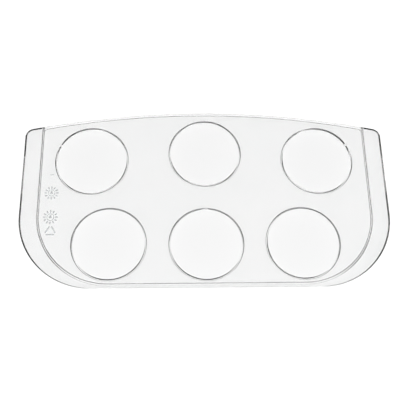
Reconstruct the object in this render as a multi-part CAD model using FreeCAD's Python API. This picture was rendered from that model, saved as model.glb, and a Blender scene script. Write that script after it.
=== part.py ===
"""Clear egg tray for a refrigerator door: one thin moulding, written region by region.

Millimetres. +X runs along the tray, +Y to its bowed back edge, +Z up. The origin is the centre
of the tray's outline, at the level on which the collars and the rib stand.
"""

import FreeCAD, Part
import math
import os

Vector = FreeCAD.Vector

# Overall size
WIDTH = 202.9
DEPTH = 102.0
FRONT = -DEPTH / 2  # the straight front edge
BACK = DEPTH / 2  # the middle of the bowed back edge
HEIGHT = 4.0  # from the feet of the collars and the rib to the top face
PLATE = 2.5  # thickness of the plate that they hang from
UNDERSIDE = HEIGHT - PLATE

# Outer edge
FRONT_CORNER = 40.0  # radius of the two big front corners
BACK_BOW = 478.0  # radius of the bowed back edge
BACK_CORNER = 5.0
EDGE_ROUND = 1.4  # rounding under the outer edge

# Locating rib: it runs down both sides and along the front, and the back rail closes its ring
RIB_WALL = 1.4
RIB_SIDE = 91.05  # inner face of the rib, from the middle of the tray
RIB_FRONT = -48.2
RIB_CORNER = 38.6
RIB_FOOT = 0.65  # rounding of the rib's foot, nearly a half circle
RAIL_WALL = 0.9
RAIL_FOOT = 1.0  # the rail ends above the feet of the rib and the collars
RAIL_CORNER = 2.0

# Egg holes
HOLE_RADIUS = 19.6
COLLAR_WALL = 0.9
LEAD_IN = 0.4  # rounding at the top of each hole
COLLAR_FOOT = 0.4
FRONT_PITCH = 52.7
BACK_PITCH = 63.6
HOLES = {
    "front_left": (-FRONT_PITCH, -26.6),
    "front_centre": (0.0, -26.9),
    "front_right": (FRONT_PITCH, -26.6),
    "back_left": (-BACK_PITCH, 21.8),
    "back_centre": (0.0, 26.2),
    "back_right": (BACK_PITCH, 21.8),
}

# Raised marks at the left of the deck
MARK_HEIGHT = 0.2
LINE = 0.3  # width of a raised line
DIAL_TICKS = 12
DIALS = {"upper": (-84.6, 2.1, 3.9), "lower": (-84.4, -11.9, 4.1)}  # place and radius
TRIANGLE = (-84.0, -19.9, 3.7)
DASH = (-84.9, 12.8, 2.0)  # place and length

REACH = 2 * WIDTH  # larger than the tray, for cutting boxes


def outline(half_width, front, front_corner, back, bow, back_corner):
    """A face with a straight front, two large front corners, straight sides and a bowed back."""
    corner_x = half_width - front_corner
    corner_y = front + front_corner
    bow_y = back - bow
    small_x = half_width - back_corner
    small_y = bow_y + math.sqrt((bow - back_corner) ** 2 - small_x**2)
    reach = bow / (bow - back_corner)
    meet = Vector(small_x * reach, bow_y + (small_y - bow_y) * reach, 0)
    lean = math.atan2(small_y - bow_y, small_x) / 2
    slant = front_corner * math.sqrt(0.5)

    def mirrored(point):
        return Vector(-point.x, point.y, 0)

    front_end = Vector(corner_x, front, 0)
    corner_mid = Vector(corner_x + slant, corner_y - slant, 0)
    side_low = Vector(half_width, corner_y, 0)
    side_high = Vector(half_width, small_y, 0)
    small_mid = Vector(
        small_x + back_corner * math.cos(lean), small_y + back_corner * math.sin(lean), 0
    )
    edges = [
        Part.LineSegment(mirrored(front_end), front_end),
        Part.Arc(front_end, corner_mid, side_low),
        Part.LineSegment(side_low, side_high),
        Part.Arc(side_high, small_mid, meet),
        Part.Arc(meet, Vector(0, back, 0), mirrored(meet)),
        Part.Arc(mirrored(meet), mirrored(small_mid), mirrored(side_high)),
        Part.LineSegment(mirrored(side_high), mirrored(side_low)),
        Part.Arc(mirrored(side_low), mirrored(corner_mid), mirrored(front_end)),
    ]
    return Part.Face(Part.Wire([edge.toShape() for edge in edges]))


def slab(face, low, high):
    """The face, drawn at height zero, as a solid from low to high."""
    raised = face.copy()
    raised.translate(Vector(0, 0, low))
    return raised.extrude(Vector(0, 0, high - low))


def rounded(solid, radius, chosen):
    """The solid with the chosen edges rounded."""
    return solid.makeFillet(radius, chosen)


def level_edges(solid, level):
    """The edges of the solid that lie wholly at one level."""
    found = []
    for edge in solid.Edges:
        box = edge.BoundBox
        if abs(box.ZMin - level) < 1e-6 and abs(box.ZMax - level) < 1e-6:
            found.append(edge)
    return found


def outer_face():
    """The whole tray seen from above."""
    return outline(WIDTH / 2, FRONT, FRONT_CORNER, BACK, BACK_BOW, BACK_CORNER)


def deck_face():
    """Everything inside the rib and the rail."""
    bow = BACK_BOW - RAIL_WALL
    return outline(RIB_SIDE, RIB_FRONT, RIB_CORNER, BACK - RAIL_WALL, bow, RAIL_CORNER)


def rib_block(offset, low, high):
    """A block that reaches past the back edge, with the rib's inner face moved out by offset."""
    face = outline(
        RIB_SIDE + offset, RIB_FRONT - offset, RIB_CORNER + offset, WIDTH - offset, BACK_BOW, BACK_CORNER
    )
    return slab(face, low, high)


def border():
    """The regions outside the rib: two wide side flanges and a narrow front lip."""
    whole = slab(outer_face(), UNDERSIDE, HEIGHT)
    whole = rounded(whole, EDGE_ROUND, level_edges(whole, UNDERSIDE))
    ring = whole.cut(rib_block(RIB_WALL, -1, HEIGHT + 1))
    front_end = RIB_SIDE - RIB_CORNER
    front = Part.makeBox(2 * front_end, REACH, REACH, Vector(-front_end, -REACH, -1))
    sides = ring.cut(front)
    return {
        "front_lip": ring.common(front),
        "left_flange": sides.common(Part.makeBox(REACH, 2 * REACH, REACH, Vector(-REACH, -REACH, -1))),
        "right_flange": sides.common(Part.makeBox(REACH, 2 * REACH, REACH, Vector(0, -REACH, -1))),
    }


def locating_rib():
    """The rib of the sides and the front, which runs through the plate and stands below it."""
    band = rib_block(RIB_WALL, 0, HEIGHT).cut(rib_block(0, -1, HEIGHT + 1))
    band = band.common(Part.makeBox(2 * REACH, REACH + BACK + 1, REACH, Vector(-REACH, -REACH, -1)))
    band = rounded(band, RIB_FOOT, [edge for edge in level_edges(band, 0) if edge.BoundBox.YMin < BACK])
    return band.common(slab(outer_face(), -1, HEIGHT + 1))


def back_rail():
    """The thin upright wall along the bowed back edge, between the two ends of the rib."""
    wall = slab(outer_face(), RAIL_FOOT, HEIGHT).common(rib_block(0, -1, HEIGHT + 1))
    return wall.cut(slab(deck_face(), 0, HEIGHT + 1))


def deck():
    """The plate inside the rib, with a seat for each collar."""
    plate = slab(deck_face(), UNDERSIDE, HEIGHT)
    for x, y in HOLES.values():
        plate = plate.cut(Part.makeCylinder(HOLE_RADIUS + COLLAR_WALL, REACH, Vector(x, y, -1)))
    return plate


def collar(x, y):
    """The short round wall of one egg hole, rounded at the mouth and at the foot."""
    inner = HOLE_RADIUS
    outer = HOLE_RADIUS + COLLAR_WALL
    mouth = LEAD_IN * (1 - math.sqrt(0.5))
    foot = COLLAR_FOOT * (1 - math.sqrt(0.5))
    points = {
        "foot_in": Vector(inner + COLLAR_FOOT, 0, 0),
        "foot_out": Vector(outer - COLLAR_FOOT, 0, 0),
        "foot_out_mid": Vector(outer - foot, 0, foot),
        "outer_low": Vector(outer, 0, COLLAR_FOOT),
        "outer_top": Vector(outer, 0, HEIGHT),
        "mouth_out": Vector(inner + LEAD_IN, 0, HEIGHT),
        "mouth_mid": Vector(inner + mouth, 0, HEIGHT - mouth),
        "mouth_in": Vector(inner, 0, HEIGHT - LEAD_IN),
        "inner_low": Vector(inner, 0, COLLAR_FOOT),
        "foot_in_mid": Vector(inner + foot, 0, foot),
    }
    edges = [
        Part.LineSegment(points["foot_in"], points["foot_out"]),
        Part.Arc(points["foot_out"], points["foot_out_mid"], points["outer_low"]),
        Part.LineSegment(points["outer_low"], points["outer_top"]),
        Part.LineSegment(points["outer_top"], points["mouth_out"]),
        Part.Arc(points["mouth_out"], points["mouth_mid"], points["mouth_in"]),
        Part.LineSegment(points["mouth_in"], points["inner_low"]),
        Part.Arc(points["inner_low"], points["foot_in_mid"], points["foot_in"]),
    ]
    section = Part.Face(Part.Wire([edge.toShape() for edge in edges]))
    ring = section.revolve(Vector(0, 0, 0), Vector(0, 0, 1), 360)
    ring.translate(Vector(x, y, 0))
    return ring


def bar(length, width, x, y, angle=0.0):
    """A raised straight line on the deck, centred at x, y and turned by angle."""
    line = Part.makeBox(length, width, MARK_HEIGHT, Vector(-length / 2, -width / 2, HEIGHT))
    line.rotate(Vector(0, 0, 0), Vector(0, 0, 1), angle)
    line.translate(Vector(x, y, 0))
    return line


def hoop(radius, x, y):
    """A raised thin circle on the deck."""
    outer = Part.makeCylinder(radius, MARK_HEIGHT, Vector(x, y, HEIGHT))
    return outer.cut(Part.makeCylinder(radius - LINE, MARK_HEIGHT, Vector(x, y, HEIGHT)))


def date_dial(x, y, radius):
    """A moulder's dial: a circle of ticks round a smaller circle with a pointer in it."""
    inner = 0.5 * radius
    middle = 0.8 * radius
    solids = [hoop(inner, x, y)]
    for step in range(DIAL_TICKS):
        turn = 360 * step / DIAL_TICKS
        across = math.radians(turn)
        solids.append(
            bar(0.35 * radius, 2 * LINE, x + middle * math.cos(across), y + middle * math.sin(across), turn)
        )
    tip = Vector(x, y + 0.75 * inner, HEIGHT)
    wing = 0.45 * inner
    foot = Vector(0, -inner, 0)
    corners = [tip, tip + foot + Vector(-wing, 0, 0), tip + foot + Vector(wing, 0, 0), tip]
    pointer = Part.Face(Part.makePolygon(corners)).extrude(Vector(0, 0, MARK_HEIGHT))
    return Part.makeCompound(solids + [pointer])


def triangle_mark(x, y, radius):
    """Three raised lines round a triangle, with gaps at its corners."""
    inset = radius / 2
    solids = []
    for step in range(3):
        turn = 120 * step - 90
        across = math.radians(turn)
        solids.append(
            bar(1.2 * radius, 2 * LINE, x + inset * math.cos(across), y + inset * math.sin(across), turn + 90)
        )
    return Part.makeCompound(solids)


def nodes():
    """Every region of the tray by name."""
    parts = {"deck": deck(), "locating_rib": locating_rib(), "back_rail": back_rail()}
    parts.update(border())
    for place, (x, y) in HOLES.items():
        parts["egg_collar_" + place] = collar(x, y)
    for place, (x, y, radius) in DIALS.items():
        parts["date_dial_" + place] = date_dial(x, y, radius)
    parts["triangle_mark"] = triangle_mark(*TRIANGLE)
    parts["cavity_dash"] = bar(DASH[2], LINE, DASH[0], DASH[1])
    return parts


os.makedirs("parts", exist_ok=True)
for name, shape in nodes().items():
    shape.exportStep("parts/" + name + ".step")
    box = shape.BoundBox
    print(
        f"{name:24s} solids {len(shape.Solids):2d} valid {shape.isValid()} volume {shape.Volume:9.2f} "
        f"x {box.XMin:7.2f} {box.XMax:7.2f} y {box.YMin:7.2f} {box.YMax:7.2f} z {box.ZMin:5.2f} {box.ZMax:5.2f}"
    )
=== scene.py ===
"""Clear plastic egg tray for a refrigerator door, built as closed regions in the CAD frame (metres)."""

import logging
import math
from dataclasses import dataclass, field
from enum import Enum
from typing import Any, Callable, Iterable, Sequence

import bpy
from mathutils import Matrix, Vector
from mathutils.geometry import delaunay_2d_cdt


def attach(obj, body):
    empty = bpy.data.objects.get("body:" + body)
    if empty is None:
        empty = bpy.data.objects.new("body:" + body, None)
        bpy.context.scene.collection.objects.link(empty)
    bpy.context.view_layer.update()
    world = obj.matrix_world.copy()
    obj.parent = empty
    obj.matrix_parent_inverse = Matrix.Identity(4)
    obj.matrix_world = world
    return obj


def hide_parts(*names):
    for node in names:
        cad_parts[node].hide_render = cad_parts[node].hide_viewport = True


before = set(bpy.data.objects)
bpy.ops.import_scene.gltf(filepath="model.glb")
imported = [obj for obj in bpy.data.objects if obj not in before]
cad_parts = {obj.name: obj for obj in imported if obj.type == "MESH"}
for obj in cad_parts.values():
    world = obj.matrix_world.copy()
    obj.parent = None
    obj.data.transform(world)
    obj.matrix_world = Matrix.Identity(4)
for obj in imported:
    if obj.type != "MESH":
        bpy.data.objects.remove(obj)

LOG = logging.getLogger("egg_tray")
MM = 0.001
ROOT = "root"
CLEARANCE = 0.008  # millimetres, between regions that meet face to face
NEAR = 0.1  # millimetres, within which a wall counts as lying on a neighbour's line


class Slot(Enum):
    """The material slots of the record."""

    CLEAR = "clear_plastic"
    MARK = "raised_mark"


# ---------------------------------------------------------------------------------------------
# Shader nodes


class Sock:
    """An output socket that takes part in Python arithmetic."""

    def __init__(self, nodes: "Nodes", socket: bpy.types.NodeSocket) -> None:
        """Keep the socket and the tree it belongs to."""
        self.nodes = nodes
        self.socket = socket

    def _math(self, operation: str, first: Any, second: Any) -> "Sock":
        """Add one Math node.

        Args:
            operation: the Math node's operation.
            first: the first value or socket.
            second: the second value or socket.

        Returns:
            The node's result.
        """
        return self.nodes.add("ShaderNodeMath", {"operation": operation}, {0: first, 1: second})

    def __add__(self, other: Any) -> "Sock":
        """Sum."""
        return self._math("ADD", self, other)

    def __radd__(self, other: Any) -> "Sock":
        """Sum, with the socket on the right."""
        return self._math("ADD", other, self)

    def __sub__(self, other: Any) -> "Sock":
        """Difference."""
        return self._math("SUBTRACT", self, other)

    def __rsub__(self, other: Any) -> "Sock":
        """Difference, with the socket on the right."""
        return self._math("SUBTRACT", other, self)

    def __mul__(self, other: Any) -> "Sock":
        """Product."""
        return self._math("MULTIPLY", self, other)

    def __rmul__(self, other: Any) -> "Sock":
        """Product, with the socket on the right."""
        return self._math("MULTIPLY", other, self)

    def __truediv__(self, other: Any) -> "Sock":
        """Quotient."""
        return self._math("DIVIDE", self, other)

    def __rtruediv__(self, other: Any) -> "Sock":
        """Quotient, with the socket on the right."""
        return self._math("DIVIDE", other, self)

    def __pow__(self, other: Any) -> "Sock":
        """Power."""
        return self._math("POWER", self, other)

    def size(self) -> "Sock":
        """The value without its sign."""
        return self._math("ABSOLUTE", self, 0.0)

    def most(self, other: Any) -> "Sock":
        """The larger of two values."""
        return self._math("MAXIMUM", self, other)

    def clamped(self) -> "Sock":
        """The value, kept between zero and one."""
        return self.nodes.add("ShaderNodeClamp", None, {0: self})

    def below(self, limit: Any) -> "Sock":
        """One where the value is under the limit, else zero."""
        return self._math("LESS_THAN", self, limit)

    def above(self, limit: Any) -> "Sock":
        """One where the value is over the limit, else zero."""
        return self._math("GREATER_THAN", self, limit)

    def beside(self, output: int) -> "Sock":
        """Another output of the same node."""
        return Sock(self.nodes, self.socket.node.outputs[output])


class Nodes:
    """A node tree that is filled through one method."""

    def __init__(self, tree: bpy.types.NodeTree) -> None:
        """Keep the tree."""
        self.tree = tree

    def add(
        self,
        kind: str,
        settings: dict[str, Any] | None = None,
        inputs: dict[Any, Any] | None = None,
        output: int | str = 0,
    ) -> Sock:
        """Add a node, set it up and feed its sockets.

        Args:
            kind: the node's type name.
            settings: attributes to set; "stops" fills a colour ramp.
            inputs: sockets by name or number, each with a value or a Sock.
            output: which output to give back.

        Returns:
            The chosen output.
        """
        node = self.tree.nodes.new(kind)
        for name, value in (settings or {}).items():
            if name == "stops":
                self._fill_ramp(node, value)
            else:
                setattr(node, name, value)
        for name, value in (inputs or {}).items():
            if isinstance(value, Sock):
                self.tree.links.new(value.socket, node.inputs[name])
            else:
                node.inputs[name].default_value = value
        return Sock(self, node.outputs[output] if node.outputs else None)

    @staticmethod
    def _fill_ramp(node: bpy.types.Node, stops: Sequence[tuple[float, tuple[float, ...]]]) -> None:
        """Give a colour ramp its stops.

        Args:
            node: the ramp.
            stops: each stop's position and colour.
        """
        elements = node.color_ramp.elements
        while len(elements) < len(stops):
            elements.new(0.5)
        for element, (position, colour) in zip(elements, stops):
            element.position = position
            element.color = colour

    def places(self) -> tuple[Sock, Sock, Sock, Sock]:
        """The object coordinates.

        Returns:
            The whole vector, then x, y and z, in metres.
        """
        whole = self.add("ShaderNodeTexCoord", output="Object")
        split = self.add("ShaderNodeSeparateXYZ", None, {0: whole})
        return whole, split, split.beside(1), split.beside(2)

    def noise(self, at: Sock, scale: float, detail: float = 3.0, rough: float = 0.5) -> Sock:
        """A noise value from 0 to 1.

        Args:
            at: where it is read.
            scale: patches per metre.
            detail: how many octaves.
            rough: how strong the finer octaves are.

        Returns:
            The noise.
        """
        values = {"Vector": at, "Scale": scale, "Detail": detail, "Roughness": rough}
        return self.add("ShaderNodeTexNoise", None, values, "Fac")


def new_material(name: str) -> tuple[bpy.types.Material, Nodes]:
    """Start an empty node material.

    Args:
        name: the material's name.

    Returns:
        The material and its tree.
    """
    material = bpy.data.materials.new(name)
    material.use_nodes = True
    material.node_tree.nodes.clear()
    return material, Nodes(material.node_tree)


POLYSTYRENE = 1.59  # index of refraction


@dataclass(frozen=True)
class ClearPlastic:
    """Polished clear polystyrene, with the faint lines where the melt met behind each hole.

    Scales are in patches for each metre.
    """

    name: str = "clear_polystyrene"
    tint_low: tuple[float, float, float, float] = (0.985, 0.99, 0.99, 1.0)
    tint_high: tuple[float, float, float, float] = (1.0, 1.0, 1.0, 1.0)
    tint_scale: float = 38.0
    polish: float = 0.004  # roughness where nothing has touched it
    wear: float = 0.02  # how much rougher handling makes it
    wear_scale: float = 420.0
    wear_from: float = 0.45
    flow_scale: float = 55.0
    flow_height: float = 0.0006 * MM
    weld_lines: tuple[tuple[float, float, float, float], ...] = (  # both ends, in millimetres
        (0.0, -7.0, 0.0, 6.0),
        (-78.5, -6.5, -71.0, -16.5),
        (78.5, -6.5, 71.0, -16.5),
    )
    weld_width: float = 0.16 * MM
    weld_height: float = 0.004 * MM

    def weld_mask(self, x: Sock, y: Sock) -> Sock:
        """A thin soft ridge along each weld line.

        Args:
            x: where it is read, along the tray.
            y: where it is read, across the tray.

        Returns:
            One on a line, falling to zero beside it.
        """
        total: Any = 0.0
        for x0, y0, x1, y1 in self.weld_lines:
            length = math.hypot(x1 - x0, y1 - y0)
            along_x, along_y = (x1 - x0) / length, (y1 - y0) / length
            from_x, from_y = x - x0 * MM, y - y0 * MM
            along = from_x * along_x + from_y * along_y
            aside = (from_x * along_y - from_y * along_x).size()
            ridge = 1.0 / (1.0 + (aside / self.weld_width) ** 2.0)
            total = ridge * along.above(0.0) * along.below(length * MM) + total
        return total

    def build(self) -> bpy.types.Material:
        """Build the material.

        Returns:
            The finished material.
        """
        material, nodes = new_material(self.name)
        whole, x, y, _ = nodes.places()
        cloud = nodes.noise(whole, self.tint_scale, 2.0)
        tint = nodes.add(
            "ShaderNodeValToRGB", {"stops": [(0.3, self.tint_low), (0.7, self.tint_high)]}, {0: cloud}
        )
        worn = nodes.noise(whole, self.wear_scale, 4.0, 0.6) - self.wear_from
        rough = self.polish + self.wear * worn.above(0.0) * worn
        flow = nodes.noise(whole, self.flow_scale, 1.0) * self.flow_height
        height = flow + self.weld_mask(x, y) * self.weld_height
        bump = nodes.add("ShaderNodeBump", None, {"Strength": 1.0, "Distance": 1.0, "Height": height})
        shader = nodes.add(
            "ShaderNodeBsdfPrincipled",
            None,
            {
                "Base Color": tint,
                "Roughness": rough,
                "Normal": bump,
                "IOR": POLYSTYRENE,
                "Transmission Weight": 1.0,
            },
        )
        nodes.add("ShaderNodeOutputMaterial", None, {"Surface": shader})
        return material


@dataclass(frozen=True)
class Seam:
    """Nothing at all, for faces inside the moulding where two regions are one piece of plastic."""

    name: str = "inner_seam"

    def build(self) -> bpy.types.Material:
        """Build the material.

        Returns:
            The finished material.
        """
        material, nodes = new_material(self.name)
        shader = nodes.add("ShaderNodeBsdfPrincipled", None, {"Alpha": 0.0})
        nodes.add("ShaderNodeOutputMaterial", None, {"Surface": shader})
        return material


@dataclass(frozen=True)
class ErodedPlastic:
    """The same plastic where the mould was spark-eroded, for the raised marks."""

    name: str = "eroded_polystyrene"
    low: tuple[float, float, float, float] = (0.80, 0.82, 0.83, 1.0)
    high: tuple[float, float, float, float] = (0.90, 0.92, 0.92, 1.0)
    grain_scale: float = 9000.0  # grains for each metre
    grain_height: float = 0.02 * MM
    bump_strength: float = 0.6
    smoothest: float = 0.12
    coarsening: float = 0.2  # how much rougher the top of a grain is
    clearness: float = 0.85

    def build(self) -> bpy.types.Material:
        """Build the material.

        Returns:
            The finished material.
        """
        material, nodes = new_material(self.name)
        whole = nodes.places()[0]
        grain = nodes.noise(whole, self.grain_scale, 3.0, 0.7)
        tint = nodes.add("ShaderNodeValToRGB", {"stops": [(0.35, self.low), (0.65, self.high)]}, {0: grain})
        height = grain * self.grain_height
        bump = nodes.add(
            "ShaderNodeBump", None, {"Strength": self.bump_strength, "Distance": 1.0, "Height": height}
        )
        shader = nodes.add(
            "ShaderNodeBsdfPrincipled",
            None,
            {
                "Base Color": tint,
                "Roughness": self.smoothest + self.coarsening * grain,
                "Normal": bump,
                "IOR": POLYSTYRENE,
                "Transmission Weight": self.clearness,
            },
        )
        nodes.add("ShaderNodeOutputMaterial", None, {"Surface": shader})
        return material


@dataclass(frozen=True)
class PaperFloor:
    """Matt white paper, painted darker in the outline of the tray as painted shade."""

    name: str = "studio_paper_painted_shade"
    grey: float = 0.86
    painted_shade_grey: float = 0.714  # painted shade: the paper's grey under the tray, standing in for the light the tray takes
    soft: float = 2.0 * MM  # how softly the painted shade ends
    fibre_scale: float = 900.0  # fibres for each metre
    fibre_low: float = 0.996
    fibre_range: float = 0.008

    def under(self, x: Sock, y: Sock, line: "Outline") -> Sock:
        """How far a place lies under the tray, used as the mask of the painted shade.

        Args:
            x: where it is read, along the tray.
            y: where it is read, across the tray.
            line: the tray's outline.

        Returns:
            One under the tray, falling to zero at its outline.
        """
        side = x.size()
        beyond_side = side - line.half_width * MM
        beyond_front = line.front * MM - y
        far = y - line.bow_y() * MM
        beyond_back = (x * x + far * far) ** 0.5 - line.bow * MM
        across = side - (line.half_width - line.front_corner) * MM
        along = (line.front + line.front_corner) * MM - y
        beyond_corner = (across * across + along * along) ** 0.5 - line.front_corner * MM
        in_corner = across.above(0.0) * along.above(0.0)
        corner = beyond_corner * in_corner - (1.0 - in_corner)
        worst = beyond_side.most(beyond_front).most(beyond_back).most(corner)
        return (0.5 - worst / self.soft).clamped()

    def build(self) -> bpy.types.Material:
        """Build the material.

        Returns:
            The finished material.
        """
        material, nodes = new_material(self.name)
        whole, x, y, _ = nodes.places()
        light = self.fibre_low + self.fibre_range * nodes.noise(whole, self.fibre_scale, 3.0)
        # painted shade: the paper is painted darker under the tray, in place of a cast shadow
        paper_tone_with_painted_shade = self.grey - (self.grey - self.painted_shade_grey) * self.under(x, y, SIZES.outer)
        grey = light * paper_tone_with_painted_shade
        tint = nodes.add("ShaderNodeCombineColor", {"mode": "RGB"}, {0: grey, 1: grey, 2: grey})
        shader = nodes.add(
            "ShaderNodeBsdfPrincipled",
            None,
            {"Base Color": tint, "Roughness": 0.9, "Specular IOR Level": 0.0},
        )
        nodes.add("ShaderNodeOutputMaterial", None, {"Surface": shader})
        return material


# ---------------------------------------------------------------------------------------------
# Mesh building


@dataclass(frozen=True)
class Knot:
    """One corner of a region's outline, with the way it moves as the edge is rounded.

    All four are in millimetres; a knot with no slide stands on a plain upright wall.
    """

    x: float
    y: float
    slide_x: float = 0.0
    slide_y: float = 0.0

    def at(self, inset: float) -> tuple[float, float]:
        """The corner, moved in by an inset."""
        return self.x + self.slide_x * inset, self.y + self.slide_y * inset


Level = tuple[float, float]  # height and inset, in millimetres
CREASE = math.radians(25)  # walls that meet at more than this have a sharp edge
TINY = 1e-7  # millimetres, below which two heights or places are the same


def wall_levels(
    low: float,
    high: float,
    foot: float,
    mouth: float,
    splits: tuple[float, ...] = (),
    steps: int = 8,
    bend: float = 1.0,
) -> list[Level]:
    """Heights and insets of a wall with a drawn-in foot and a rounded mouth.

    Args:
        low: height of the foot.
        high: height of the mouth.
        foot: height over which the foot is drawn in, or zero.
        mouth: rounding at the mouth, or zero.
        splits: heights between the two where the wall is divided.
        steps: strips in each rounding.
        bend: 1 for a round foot, 0 for a straight slope.

    Returns:
        The levels, from the foot upwards.
    """
    levels: list[Level] = []
    if foot > 0:
        for step in range(steps + 1):
            turn = math.pi / 2 * step / steps
            along = step / steps
            rise = bend * (1 - math.cos(turn)) + (1 - bend) * along
            inset = bend * (1 - math.sin(turn)) + (1 - bend) * (1 - along)
            levels.append((low + foot * rise, foot * inset))
    else:
        levels.append((low, 0.0))
    levels += [(split, 0.0) for split in splits]
    if mouth > 0:
        for step in range(steps + 1):
            turn = math.pi / 2 * step / steps
            levels.append((high - mouth * (1 - math.sin(turn)), mouth * (1 - math.cos(turn))))
    else:
        levels.append((high, 0.0))
    return levels


SeamRule = Callable[[float, float], float]  # from a place, the height where a neighbour joins on


def all_round(height: float) -> SeamRule:
    """A wall that a neighbour joins everywhere from one height up."""
    return lambda x, y: height


@dataclass
class Wall:
    """One closed loop of a region, with the levels of its rounding and where its neighbours join."""

    knots: list[Knot]
    levels: list[Level]
    hole: bool = False
    seam: SeamRule = all_round(math.inf)


@dataclass
class Region:
    """A closed solid between two flat faces, with rounded or plain walls round it."""

    walls: list[Wall]

    def mesh(self, name: str) -> bpy.types.Mesh:
        """Build the solid.

        Args:
            name: the mesh's name.

        Returns:
            A closed mesh with flat faces and smooth walls.
        """
        points: list[tuple[float, float, float]] = []
        faces: list[tuple[int, ...]] = []
        smooth: list[bool] = []
        joined: list[int] = []
        rims: dict[str, list[list[int]]] = {"low": [], "high": []}
        for wall in self.walls:
            rows: list[list[int]] = []
            for height, inset in wall.levels:
                row = []
                for knot in wall.knots:
                    x, y = knot.at(inset)
                    row.append(len(points))
                    points.append((x * MM, y * MM, height * MM))
                rows.append(row)
            count = len(wall.knots)
            for first in range(count):
                second = (first + 1) % count
                here, there = wall.knots[first], wall.knots[second]
                meets = wall.seam((here.x + there.x) / 2, (here.y + there.y) / 2)
                for lower, upper, level in zip(rows, rows[1:], wall.levels):
                    face = (lower[first], lower[second], upper[second], upper[first])
                    faces.append(tuple(reversed(face)) if wall.hole else face)
                    smooth.append(True)
                    joined.append(int(level[0] >= meets - TINY))
            rims["low"].append(rows[0])
            rims["high"].append(rows[-1])
        for side, loops in rims.items():
            for triangle in self._cap(points, loops):
                faces.append(tuple(reversed(triangle)) if side == "low" else triangle)
                smooth.append(False)
                joined.append(0)
        mesh = bpy.data.meshes.new(name)
        mesh.from_pydata(points, [], faces)
        mesh.validate()
        mesh.polygons.foreach_set("use_smooth", smooth)
        mesh.polygons.foreach_set("material_index", joined)
        mesh.set_sharp_from_angle(angle=CREASE)
        mesh.update()
        return mesh

    @staticmethod
    def _cap(
        points: Sequence[tuple[float, float, float]], loops: Sequence[Sequence[int]]
    ) -> list[tuple[int, int, int]]:
        """Fill between an outer loop and its holes.

        Args:
            points: every point of the solid.
            loops: numbers of the points in each loop, the outer loop first.

        Returns:
            Triangles that face upwards.
        """
        order = [number for loop in loops for number in loop]
        flat = [Vector((points[number][0] / MM, points[number][1] / MM)) for number in order]
        rings, start = [], 0
        for loop in loops:
            rings.append(list(range(start, start + len(loop))))
            start += len(loop)
        edges = [(ring[i], ring[(i + 1) % len(ring)]) for ring in rings for i in range(len(ring))]
        _, _, made, source, _, _ = delaunay_2d_cdt(flat, edges, [], 0, TINY)
        back = [origin[0] for origin in source]
        outline = [flat[number] for number in rings[0]]
        holes = [[flat[number] for number in ring] for ring in rings[1:]]
        triangles = []
        for face in made:
            a, b, c = (back[number] for number in face)
            middle = (flat[a] + flat[b] + flat[c]) / 3
            if not Region._inside(middle, outline) or any(Region._inside(middle, ring) for ring in holes):
                continue
            turn = (flat[b] - flat[a]).cross(flat[c] - flat[a])
            corner = (order[a], order[b], order[c])
            triangles.append(corner if turn > 0 else tuple(reversed(corner)))
        return triangles

    @staticmethod
    def _inside(point: Vector, ring: Sequence[Vector]) -> bool:
        """Tell whether a point lies inside a closed ring.

        Args:
            point: the point.
            ring: the ring's corners in order.

        Returns:
            True inside it.
        """
        within = False
        for first, second in zip(ring, list(ring[1:]) + [ring[0]]):
            if (first.y > point.y) != (second.y > point.y):
                cross = first.x + (point.y - first.y) * (second.x - first.x) / (second.y - first.y)
                within ^= point.x < cross
        return within


def arc(
    centre: tuple[float, float],
    radius: float,
    start: float,
    end: float,
    steps: int,
    slide: float = 0.0,
    first_slide: float | None = None,
) -> list[Knot]:
    """Knots along an arc.

    Args:
        centre: middle of the arc.
        radius: its radius.
        start: first angle, in radians.
        end: last angle.
        steps: how many strips.
        slide: how far a knot moves outwards for each millimetre of inset.
        first_slide: the same at the first knot, if it differs; it eases into slide.

    Returns:
        The knots, ends included.
    """
    knots = []
    begin = slide if first_slide is None else first_slide
    for step in range(steps + 1):
        part = step / steps
        turn = start + (end - start) * part
        c, s = math.cos(turn), math.sin(turn)
        ease = part * part * (3 - 2 * part)
        move = begin + (slide - begin) * ease
        knots.append(Knot(centre[0] + radius * c, centre[1] + radius * s, move * c, move * s))
    return knots


def mirrored(knots: Iterable[Knot]) -> list[Knot]:
    """The knots on the other side of the tray, in the order that keeps the loop's sense."""
    return [Knot(-knot.x, knot.y, -knot.slide_x, knot.slide_y) for knot in reversed(list(knots))]


def circle(x: float, y: float, radius: float, slide: float = 0.0, steps: int = 180) -> list[Knot]:
    """Knots round a whole circle."""
    return arc((x, y), radius, 0.0, 2 * math.pi * (steps - 1) / steps, steps - 1, slide)


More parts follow.
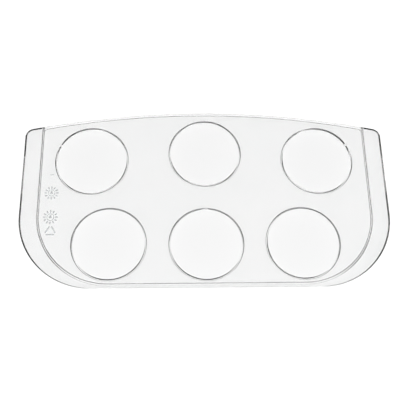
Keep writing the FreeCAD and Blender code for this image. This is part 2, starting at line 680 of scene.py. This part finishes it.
@dataclass(frozen=True)
class Outline:
    """A straight front, two large front corners, straight sides and a bowed back (millimetres)."""

    half_width: float
    front: float
    front_corner: float
    back: float
    bow: float
    back_corner: float

    def bow_y(self) -> float:
        """Middle of the back edge's circle."""
        return self.back - self.bow

    def corner_y(self) -> float:
        """Middle of the small back corner."""
        reach = self.half_width - self.back_corner
        return self.bow_y() + math.sqrt((self.bow - self.back_corner) ** 2 - reach**2)

    def back_at(self, x: float) -> float:
        """Where the bowed edge lies at x."""
        return self.bow_y() + math.sqrt(self.bow**2 - x**2)

    def back_slope(self, x: float) -> float:
        """How steeply the bowed edge falls at x."""
        return x / math.sqrt(self.bow**2 - x**2)

    def front_turn(
        self, slide: float = 0.0, first_slide: float | None = None, steps: int = 72
    ) -> list[Knot]:
        """The right front corner, from the front to the side."""
        centre = (self.half_width - self.front_corner, self.front + self.front_corner)
        return arc(centre, self.front_corner, -math.pi / 2, 0.0, steps, slide, first_slide)

    def back_turn(
        self, slide: float = 0.0, first_slide: float | None = None, steps: int = 24
    ) -> list[Knot]:
        """The right back corner, from the side to the bowed edge.

        Args:
            slide: how far a knot moves outwards for each millimetre of inset.
            first_slide: the same at the first knot, if it differs.
            steps: how many strips.

        Returns:
            The knots.
        """
        reach = self.half_width - self.back_corner
        lean = math.atan2(self.corner_y() - self.bow_y(), reach)
        return arc((reach, self.corner_y()), self.back_corner, 0.0, lean, steps, slide, first_slide)

    def back_bow(self, start: float, end: float, slide: float = 0.0, steps: int = 96) -> list[Knot]:
        """The bowed edge from one x to another."""
        first, last = math.acos(start / self.bow), math.acos(end / self.bow)
        return arc((0.0, self.bow_y()), self.bow, first, last, steps, slide)


@dataclass(frozen=True)
class Sizes:
    """Sizes that the sub-assemblies share (millimetres)."""

    outer: Outline = Outline(101.45, -51.0, 40.0, 51.0, 478.0, 5.0)
    rib_inner: Outline = Outline(91.05, -48.2, 38.6, 202.9, 478.0, 5.0)
    rib_outer: Outline = Outline(92.45, -49.6, 40.0, 201.5, 478.0, 5.0)
    inside: Outline = Outline(91.05, -48.2, 38.6, 50.1, 477.1, 2.0)
    top: float = 4.0
    underside: float = 1.5
    rail_foot: float = 1.0
    edge_round: float = 2.2  # height of the rounding under the outer edge
    edge_lean: float = 0.65  # its width, for each millimetre of height, along the sides
    front_lean: float = 0.3  # the same along the front
    end_lean: float = 0.9  # and along the back ends of the flanges
    top_round: float = 0.15
    rib_foot: float = 0.8  # height of the slopes that narrow the rib's foot
    rib_lean: float = 0.75  # their width, for each millimetre of height, along the sides
    front_rib_lean: float = 0.3  # and along the front
    rib_bend: float = 0.35  # how round they are, from 0 for straight to 1
    hole: float = 19.6
    collar: float = 20.5
    holes: tuple[tuple[str, float, float], ...] = (
        ("front_left", -52.7, -26.6),
        ("front_centre", 0.0, -26.9),
        ("front_right", 52.7, -26.6),
        ("back_left", -63.6, 21.8),
        ("back_centre", 0.0, 26.2),
        ("back_right", 63.6, 21.8),
    )


SIZES = Sizes()


def place(
    mesh: bpy.types.Mesh, name: str, node: str, materials: Sequence[bpy.types.Material]
) -> None:
    """Put a finished mesh in the scene under the root body and hide the CAD part it stands for.

    Args:
        mesh: the finished mesh, in the CAD frame.
        name: the piece's name.
        node: the CAD node it stands for.
        materials: its surface material, then the one of its seams if it has any.
    """
    piece = bpy.data.objects.new(name, mesh)
    bpy.context.scene.collection.objects.link(piece)
    numbers = [polygon.material_index for polygon in mesh.polygons]
    mesh.materials.clear()
    for material in materials:
        mesh.materials.append(material)
    mesh.polygons.foreach_set("material_index", numbers)
    piece.visible_shadow = False
    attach(piece, ROOT)
    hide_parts(node)
    LOG.info("%s: %d faces", name, len(mesh.polygons))


# ---------------------------------------------------------------------------------------------
# Sub-assemblies


@dataclass
class Plate:
    """The flat plate: the deck round the holes, the side flanges and the front lip."""

    materials: tuple[bpy.types.Material, bpy.types.Material]
    sizes: Sizes = SIZES
    gap: float = CLEARANCE

    def deck(self) -> Region:
        """Build the plate inside the rib and the rail, with a seat for each collar.

        Returns:
            The region.
        """
        size = self.sizes
        right = size.inside.front_turn() + size.inside.back_turn()
        bow = size.inside.back_bow(right[-1].x, -right[-1].x)[1:-1]
        levels = [(size.underside, 0.0), (size.top, 0.0)]
        seam = all_round(size.underside)
        walls = [Wall(right + bow + mirrored(right), levels, seam=seam)]
        for _, x, y in size.holes:
            walls.append(Wall(circle(x, y, size.collar), levels, hole=True, seam=seam))
        return Region(walls)

    def flange(self) -> list[Knot]:
        """Draw the right flange, from the front lip round to the end of the rib.

        Returns:
            The outline.
        """
        size, gap = self.sizes, self.gap
        start = size.rib_outer.half_width - size.rib_outer.front_corner
        end = size.rib_outer.half_width + gap
        slope = size.outer.back_slope(end)
        edge = [Knot(start + gap, size.outer.front, 0.0, size.front_lean)]
        edge += size.outer.front_turn(-size.edge_lean, -size.front_lean)
        edge += size.outer.back_turn(-size.end_lean, -size.edge_lean)
        edge += size.outer.back_bow(edge[-1].x, end, -size.end_lean, 12)[1:-1]
        edge.append(Knot(end, size.outer.back_at(end), 0.0, -size.end_lean * math.hypot(1.0, slope)))
        inner = [Knot(knot.x + gap, knot.y - gap) for knot in reversed(size.rib_outer.front_turn())]
        inner[-1] = Knot(start + gap, inner[-1].y)
        return edge + inner

    def flange_seam(self, x: float, y: float) -> float:
        """Find where a flange joins the rib, on its inner side, or the lip, at its front end.

        Args:
            x: the place, along the tray.
            y: the place, across the tray.

        Returns:
            The height from which the flange is joined.
        """
        size = self.sizes
        corner = size.rib_outer.half_width - size.rib_outer.front_corner
        turn = size.rib_outer.front + size.rib_outer.front_corner
        beside_lip = abs(x) < corner + 2 * self.gap
        beside_side = y > turn and abs(x) < size.rib_outer.half_width + 2 * self.gap
        reach = math.hypot(abs(x) - corner, y - turn)
        beside_corner = y <= turn and reach < size.rib_outer.front_corner + NEAR
        return size.underside if beside_lip or beside_side or beside_corner else math.inf

    def lip_seam(self, x: float, y: float) -> float:
        """The lip joins its neighbours everywhere but in front."""
        return self.sizes.underside if y > self.sizes.outer.front + NEAR else math.inf

    def lip(self) -> list[Knot]:
        """Draw the front lip, a straight strip between the flanges.

        Returns:
            The outline.
        """
        size = self.sizes
        end = size.rib_outer.half_width - size.rib_outer.front_corner
        front, inner, lean = size.outer.front, size.rib_outer.front - self.gap, size.front_lean
        return [
            Knot(-end, front, 0.0, lean),
            Knot(end, front, 0.0, lean),
            Knot(end, inner),
            Knot(-end, inner),
        ]

    def build(self) -> None:
        """Make and place the four pieces."""
        size = self.sizes
        place(self.deck().mesh("deck_plate"), "deck_plate", "deck", self.materials)
        rounded = wall_levels(size.underside, size.top, size.edge_round, size.top_round)
        right = self.flange()
        outlines = {
            "left_flange": (mirrored(right), self.flange_seam),
            "right_flange": (right, self.flange_seam),
            "front_lip": (self.lip(), self.lip_seam),
        }
        for node, (knots, seam) in outlines.items():
            mesh = Region([Wall(knots, rounded, seam=seam)]).mesh(node + "_edge")
            place(mesh, node + "_edge", node, self.materials)


@dataclass
class Ribs:
    """The hanging rib of the sides and the front, and the rail that closes it at the back."""

    materials: tuple[bpy.types.Material, bpy.types.Material]
    sizes: Sizes = SIZES
    gap: float = CLEARANCE

    def rib_seam(self, x: float, y: float) -> float:
        """Find where the rib joins the plate, on both sides, or the rail, near its ends.

        Args:
            x: the place, along the tray.
            y: the place, across the tray.

        Returns:
            The height from which the rib is joined.
        """
        size = self.sizes
        short_of_outer = abs(x) < size.rib_outer.half_width - NEAR
        if short_of_outer and abs(x) > size.rib_inner.half_width + NEAR and y > 0:
            return math.inf
        beside_rail = short_of_outer and y > size.inside.corner_y()
        return size.rail_foot if beside_rail else size.underside

    def rail_seam(self, x: float, y: float) -> float:
        """Find where the rail joins the deck, in front of it, or the rib, at its ends.

        Args:
            x: the place, along the tray.
            y: the place, across the tray.

        Returns:
            The height from which the rail is joined.
        """
        size = self.sizes
        if abs(x) > size.inside.half_width - 2 * self.gap:
            return size.rail_foot
        return math.inf if y > size.outer.back_at(x) - NEAR else size.underside

    def rib(self) -> list[Knot]:
        """Draw the rib: out along one face, back along the other.

        Returns:
            The outline.
        """
        size = self.sizes
        outer = size.rib_outer.half_width
        inner = size.rib_inner.half_width + self.gap
        slope = size.outer.back_slope(inner)
        lean, front = size.rib_lean, size.front_rib_lean
        right = size.rib_outer.front_turn(-lean, -front)
        right.append(Knot(outer, size.outer.back_at(outer), -lean, lean * slope))
        inward = [
            Knot(inner, size.outer.back_at(inner), lean, -lean * slope),
            Knot(inner, size.inside.corner_y(), lean, 0.0),
        ]
        inward += [
            Knot(knot.x + self.gap, knot.y - self.gap, knot.slide_x, knot.slide_y)
            for knot in reversed(size.rib_inner.front_turn(lean, front))
        ]
        return right + inward + mirrored(inward) + mirrored(right)

    def rail(self) -> list[Knot]:
        """Draw the rail: the bowed back edge, then the deck's own back edge.

        Returns:
            The outline.
        """
        size = self.sizes
        end = size.inside.half_width - self.gap
        outer = size.outer.back_bow(end, -end, -1.0)
        for number in (0, -1):
            outer[number] = Knot(outer[number].x, outer[number].y, 0.0, -1.0)
        corner = size.inside.back_turn()
        inner = size.inside.back_bow(-corner[-1].x, corner[-1].x)[1:-1]
        inner = mirrored(corner)[::-1] + inner + corner[::-1]
        return outer + [Knot(max(-end, min(end, knot.x)), knot.y + self.gap) for knot in inner]

    def build(self) -> None:
        """Make and place the rib and the rail."""
        size = self.sizes
        foot = wall_levels(
            0.0, size.top, size.rib_foot, 0.0, (size.rail_foot, size.underside), bend=size.rib_bend
        )
        rib = Region([Wall(self.rib(), foot, seam=self.rib_seam)]).mesh("hanging_rib")
        place(rib, "hanging_rib", "locating_rib", self.materials)
        plain = wall_levels(size.rail_foot, size.top, 0.0, size.top_round, (size.underside,))
        rail = Region([Wall(self.rail(), plain, seam=self.rail_seam)]).mesh("rear_rail")
        place(rail, "rear_rail", "back_rail", self.materials)


@dataclass
class Collars:
    """The short round walls of the egg holes."""

    materials: tuple[bpy.types.Material, bpy.types.Material]
    sizes: Sizes = SIZES
    mouth: float = 0.3  # rounding of the hole's upper rim
    foot: float = 0.65  # height of the rounding of the foot
    outer_lean: float = 0.8  # its width on the outside, for each millimetre of height
    inner_lean: float = 0.5  # and inside the hole
    inner_bend: float = 0.85  # how round the inside is, from 0 for straight to 1
    gap: float = CLEARANCE

    def build(self) -> None:
        """Make and place the six collars."""
        size = self.sizes
        for label, x, y in size.holes:
            outer = Wall(
                circle(x, y, size.collar - self.gap, -self.outer_lean),
                wall_levels(0.0, size.top, self.foot, 0.0, (size.underside,)),
                seam=all_round(size.underside),
            )
            inner = Wall(
                circle(x, y, size.hole, self.inner_lean),
                wall_levels(0.0, size.top, self.foot, self.mouth, bend=self.inner_bend),
                hole=True,
            )
            mesh = Region([outer, inner]).mesh("collar_" + label)
            place(mesh, "collar_" + label, "egg_collar_" + label, self.materials)


@dataclass
class Marks:
    """The small raised marks that the mould leaves on the deck."""

    material: bpy.types.Material
    height: float = 0.2
    line: float = 0.3
    ticks: int = 12
    tick_ring: float = 0.8  # this and the next four are shares of a dial's radius
    tick_length: float = 0.35
    hoop: float = 0.5
    pointer_tip: float = 0.375
    pointer_wing: float = 0.225
    side_length: float = 1.2  # of the triangle, as a share of its radius
    dials: dict[str, tuple[float, float, float]] = field(
        default_factory=lambda: {"upper": (-84.6, 2.1, 3.9), "lower": (-84.4, -11.9, 4.1)}
    )
    triangle: tuple[float, float, float] = (-84.0, -19.9, 3.7)
    dash: tuple[float, float, float] = (-84.9, 12.8, 2.0)
    top: float = SIZES.top

    def tick_tree(self) -> bpy.types.NodeTree:
        """Geometry nodes that lay small bars round a circle, each pointing outwards.

        Returns:
            A tree with inputs Radius, Ticks, Length, Width, Height and Material.
        """
        tree = bpy.data.node_groups.new("dial_ticks", "GeometryNodeTree")
        sockets = tree.interface
        for name, kind in (
            ("Geometry", "NodeSocketGeometry"),
            ("Radius", "NodeSocketFloat"),
            ("Ticks", "NodeSocketInt"),
            ("Length", "NodeSocketFloat"),
            ("Width", "NodeSocketFloat"),
            ("Height", "NodeSocketFloat"),
            ("Material", "NodeSocketMaterial"),
        ):
            sockets.new_socket(name, in_out="INPUT", socket_type=kind)
        sockets.new_socket("Geometry", in_out="OUTPUT", socket_type="NodeSocketGeometry")
        nodes = Nodes(tree)
        given = nodes.add("NodeGroupInput").socket.node
        get = {socket.name: Sock(nodes, socket) for socket in given.outputs if socket.name}
        ring = nodes.add("GeometryNodeMeshCircle", None, {"Vertices": get["Ticks"], "Radius": get["Radius"]})
        size = nodes.add(
            "ShaderNodeCombineXYZ", None, {0: get["Length"], 1: get["Width"], 2: get["Height"]}
        )
        bar = nodes.add("GeometryNodeMeshCube", None, {"Size": size})
        outward = nodes.add(
            "FunctionNodeAlignRotationToVector",
            {"axis": "X", "pivot_axis": "Z"},
            {"Vector": nodes.add("GeometryNodeInputPosition")},
        )
        laid = nodes.add(
            "GeometryNodeInstanceOnPoints", None, {"Points": ring, "Instance": bar, "Rotation": outward}
        )
        real = nodes.add("GeometryNodeRealizeInstances", None, {"Geometry": laid})
        dressed = nodes.add("GeometryNodeSetMaterial", None, {"Geometry": real, "Material": get["Material"]})
        nodes.add("NodeGroupOutput", None, {0: dressed})
        return tree

    def tick_mesh(self, tree: bpy.types.NodeTree, radius: float) -> bpy.types.Mesh:
        """Run the tree for one dial.

        Args:
            tree: the tick tree.
            radius: the dial's radius.

        Returns:
            A plain mesh of the ticks, round the origin.
        """
        carrier = bpy.data.objects.new("tick_carrier", bpy.data.meshes.new("tick_carrier"))
        bpy.context.scene.collection.objects.link(carrier)
        modifier = carrier.modifiers.new("ticks", "NODES")
        modifier.node_group = tree
        values = {
            "Radius": self.tick_ring * radius * MM,
            "Ticks": self.ticks,
            "Length": self.tick_length * radius * MM,
            "Width": 2 * self.line * MM,
            "Height": self.height * MM,
            "Material": self.material,
        }
        for item in tree.interface.items_tree:
            if item.in_out == "INPUT" and item.name in values:
                modifier[item.identifier] = values[item.name]
        graph = bpy.context.evaluated_depsgraph_get()
        mesh = bpy.data.meshes.new_from_object(carrier.evaluated_get(graph))
        carrier.modifiers.clear()
        bpy.data.objects.remove(carrier)
        return mesh

    def bar(self, x: float, y: float, length: float, width: float, turn: float) -> Region:
        """Build a straight raised line.

        Args:
            x: its middle, along the tray.
            y: its middle, across the tray.
            length: its length.
            width: its width.
            turn: the angle it is turned by, in degrees.

        Returns:
            The region.
        """
        c, s = math.cos(math.radians(turn)), math.sin(math.radians(turn))
        corners = ((-1, -1), (1, -1), (1, 1), (-1, 1))
        knots = [
            Knot(x + c * a * length / 2 - s * b * width / 2, y + s * a * length / 2 + c * b * width / 2)
            for a, b in corners
        ]
        return self.raised(knots)

    def raised(self, knots: list[Knot], hole: list[Knot] | None = None) -> Region:
        """Build a low solid on the deck.

        Args:
            knots: its outline.
            hole: the outline of a hole in it, if any.

        Returns:
            The region.
        """
        levels = [(self.top, 0.0), (self.top + self.height, 0.0)]
        walls = [Wall(knots, levels)]
        if hole:
            walls.append(Wall(hole, levels, hole=True))
        return Region(walls)

    @staticmethod
    def joined(name: str, meshes: Sequence[bpy.types.Mesh]) -> bpy.types.Mesh:
        """One mesh from several, which are removed.

        Args:
            name: the new mesh's name.
            meshes: the meshes to join.

        Returns:
            The joined mesh.
        """
        points: list[Vector] = []
        faces: list[tuple[int, ...]] = []
        for mesh in meshes:
            start = len(points)
            points += [vertex.co.copy() for vertex in mesh.vertices]
            faces += [tuple(start + number for number in polygon.vertices) for polygon in mesh.polygons]
            bpy.data.meshes.remove(mesh)
        whole = bpy.data.meshes.new(name)
        whole.from_pydata(points, [], faces)
        whole.update()
        return whole

    def dial(self, tree: bpy.types.NodeTree, x: float, y: float, radius: float) -> list[bpy.types.Mesh]:
        """Build one dial: ticks, a hoop and a pointer.

        Args:
            tree: the tick tree.
            x: the dial's middle, along the tray.
            y: the dial's middle, across the tray.
            radius: its radius.

        Returns:
            Three meshes in place.
        """
        ticks = self.tick_mesh(tree, radius)
        ticks.transform(Matrix.Translation(Vector((x, y, self.top + self.height / 2)) * MM))
        inner = self.hoop * radius
        hoop = self.raised(circle(x, y, inner, steps=48), circle(x, y, inner - self.line, steps=48))
        tip, wing = y + self.pointer_tip * radius, self.pointer_wing * radius
        pointer = self.raised([Knot(x - wing, tip - inner), Knot(x + wing, tip - inner), Knot(x, tip)])
        return [ticks, hoop.mesh("hoop"), pointer.mesh("pointer")]

    def build(self) -> None:
        """Make and place the four marks."""
        tree = self.tick_tree()
        for label, (x, y, radius) in self.dials.items():
            mesh = self.joined("dial_" + label, self.dial(tree, x, y, radius))
            place(mesh, "dial_" + label, "date_dial_" + label, [self.material])
        x, y, radius = self.triangle
        bars = []
        for step in range(3):
            turn = 120 * step - 90
            across = math.radians(turn)
            side = self.bar(
                x + radius / 2 * math.cos(across),
                y + radius / 2 * math.sin(across),
                self.side_length * radius,
                2 * self.line,
                turn + 90,
            )
            bars.append(side.mesh("side"))
        sides = self.joined("sorting_triangle", bars)
        place(sides, "sorting_triangle", "triangle_mark", [self.material])
        x, y, length = self.dash
        dash = self.bar(x, y, length, self.line, 0.0).mesh("dash_mark")
        place(dash, "dash_mark", "cavity_dash", [self.material])


@dataclass
class Studio:
    """The paper, the lamps, the dark surround and the camera."""

    paper: bpy.types.Material
    floor_radius: float = 5.0
    floor_steps: int = 128
    floor_drop: float = 0.02  # millimetres under the tray's feet
    surround: float = 0.03
    lamp_side: float = 1.5
    lamps: tuple[tuple[float, float, float, float], ...] = (  # place in metres and power in watts
        (0.0, -1.2, 1.5, 33.0),
        (-1.5, 0.3, 1.3, 24.0),
        (1.5, 0.3, 1.3, 24.0),
    )
    card_at: tuple[float, float, float] = (0.05, 0.43, 1.2)
    card_size: tuple[float, float] = (1.6, 1.1)
    card_glow: float = 0.25
    camera_at: tuple[float, float, float] = (-15.49, -120.58, 333.67)  # millimetres
    heading: float = 6.083  # degrees from the tray's own depth direction
    dip: float = 70.213
    roll: float = 5.5
    focal: float = 57.242  # millimetres, as is the sensor
    sensor: float = 36.0
    shift: tuple[float, float] = (-0.00125, 0.00125)

    def floor(self) -> None:
        """A wide disc of paper just under the tray."""
        turns = [2 * math.pi * step / self.floor_steps for step in range(self.floor_steps)]
        reach, low = self.floor_radius, -self.floor_drop * MM
        ring = [(reach * math.cos(turn), reach * math.sin(turn), low) for turn in turns]
        mesh = bpy.data.meshes.new("paper")
        mesh.from_pydata(ring, [], [tuple(range(self.floor_steps))])
        mesh.materials.append(self.paper)
        paper = bpy.data.objects.new("paper", mesh)
        bpy.context.scene.collection.objects.link(paper)

    def light(self) -> None:
        """Three large soft lamps that light the paper, in a dark room."""
        for number, (x, y, z, power) in enumerate(self.lamps):
            lamp = bpy.data.lights.new(f"softbox_{number}", "AREA")
            lamp.shape = "SQUARE"
            lamp.size = self.lamp_side
            lamp.energy = power
            lamp.cycles.use_multiple_importance_sampling = False
            holder = bpy.data.objects.new(lamp.name, lamp)
            holder.location = (x, y, z)
            holder.rotation_euler = (-Vector((x, y, z))).to_track_quat("-Z", "Y").to_euler()
            holder.visible_transmission = False
            holder.visible_glossy = False
            bpy.context.scene.collection.objects.link(holder)
        self.sheen()
        world = bpy.data.worlds.new("dark_room")
        world.use_nodes = True
        world.node_tree.nodes.clear()
        nodes = Nodes(world.node_tree)
        room = nodes.add("ShaderNodeBackground", None, {"Color": (self.surround,) * 3 + (1.0,)})
        nodes.add("ShaderNodeOutputWorld", None, {"Surface": room})
        bpy.context.scene.world = world

    def sheen(self) -> None:
        """A pale card overhead, seen only as a soft reflection in the plastic."""
        lamp = bpy.data.lights.new("overhead_card", "AREA")
        lamp.shape = "RECTANGLE"
        lamp.size, lamp.size_y = self.card_size
        lamp.energy = self.card_glow * math.pi * self.card_size[0] * self.card_size[1]
        holder = bpy.data.objects.new(lamp.name, lamp)
        holder.location = self.card_at
        holder.visible_transmission = False
        holder.visible_diffuse = False
        bpy.context.scene.collection.objects.link(holder)

    def camera(self) -> None:
        """A camera above the front edge, a little left of the middle and slightly rolled."""
        head, dip, roll = (math.radians(angle) for angle in (self.heading, self.dip, self.roll))
        ahead = Vector((math.sin(head) * math.cos(dip), math.cos(head) * math.cos(dip), -math.sin(dip)))
        right = Vector((math.cos(head), -math.sin(head), 0.0))
        down = ahead.cross(right)
        across = math.cos(roll) * right - math.sin(roll) * down
        along = math.sin(roll) * right + math.cos(roll) * down
        turn = Matrix((across, -along, -ahead)).transposed()
        lens = bpy.data.cameras.new("camera")
        lens.sensor_width = self.sensor
        lens.lens = self.focal
        lens.shift_x, lens.shift_y = self.shift
        lens.clip_start = 0.01
        holder = bpy.data.objects.new("camera", lens)
        holder.location = Vector(self.camera_at) * MM
        holder.rotation_euler = turn.to_euler()
        bpy.context.scene.collection.objects.link(holder)
        bpy.context.scene.camera = holder

    def build(self) -> None:
        """Set up the whole studio."""
        self.camera()
        self.floor()
        self.light()
        bpy.context.scene.view_settings.view_transform = "Standard"


def main() -> None:
    """Build every piece."""
    logging.basicConfig(level=logging.INFO, format="%(name)s %(message)s")
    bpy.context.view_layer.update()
    Studio(PaperFloor().build()).build()
    clear = (ClearPlastic().build(), Seam().build())
    eroded = ErodedPlastic().build()
    for assembly in (Plate(clear), Ribs(clear), Collars(clear), Marks(eroded)):
        LOG.info("building %s", type(assembly).__name__)
        assembly.build()
    bpy.context.view_layer.update()


if __name__ == "__main__":
    main()
